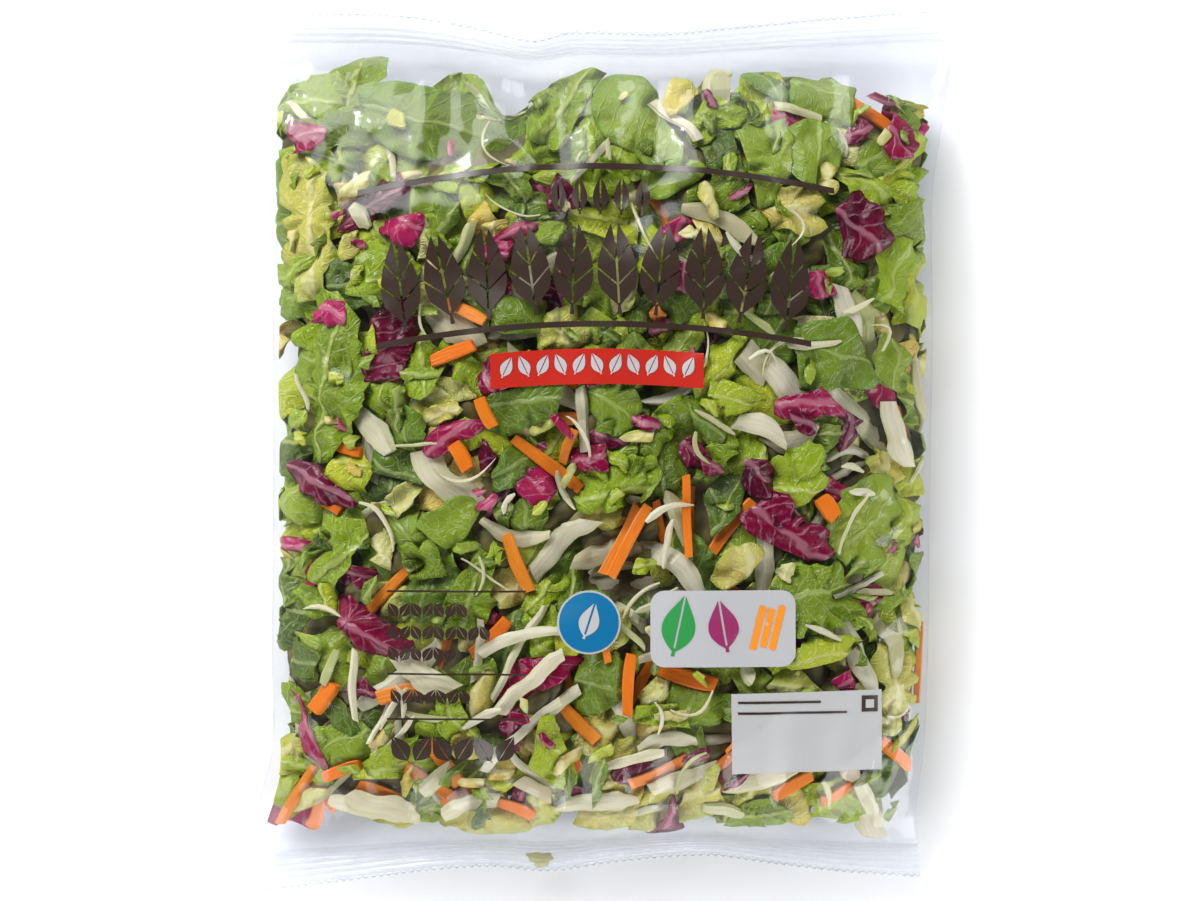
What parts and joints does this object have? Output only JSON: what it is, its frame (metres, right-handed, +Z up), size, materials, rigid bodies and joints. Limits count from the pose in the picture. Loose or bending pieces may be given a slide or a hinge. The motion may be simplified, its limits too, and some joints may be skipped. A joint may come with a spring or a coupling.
{
  "type": "bag of salad leaves",
  "caption": "Clear pillow bag of chopped mixed salad leaves with carrot sticks and cabbage shreds, crimp-sealed and tooth-cut at both ends, lying on its flattened back.",
  "frame": {"origin": "middle of the bag's footprint, on the surface it lies on", "axes": "+Z up out of the printed front panel, +Y along the bag to its top seal, +X to the bag's right as seen from the front"},
  "size_m": [0.2534, 0.3198, 0.0468],
  "materials": {
    "film": "clear glossy polypropylene film over mixed green salad",
    "green_leaf": "fresh endive and lettuce leaf, slightly waxy",
    "pale_leaf": "pale crisp cabbage and leaf rib, satin",
    "red_leaf": "dark red leaf with white veins, waxy",
    "carrot": "cut carrot, moist satin",
    "dark_ink": "dark brown ink printed on the film",
    "red_ink": "opaque red ink printed on the film",
    "blue_ink": "opaque blue ink printed on the film",
    "white_ink": "opaque white ink printed on the film"
  },
  "bodies": {
    "root": {"salad_bag": "film"}
  },
  "joints": []
}
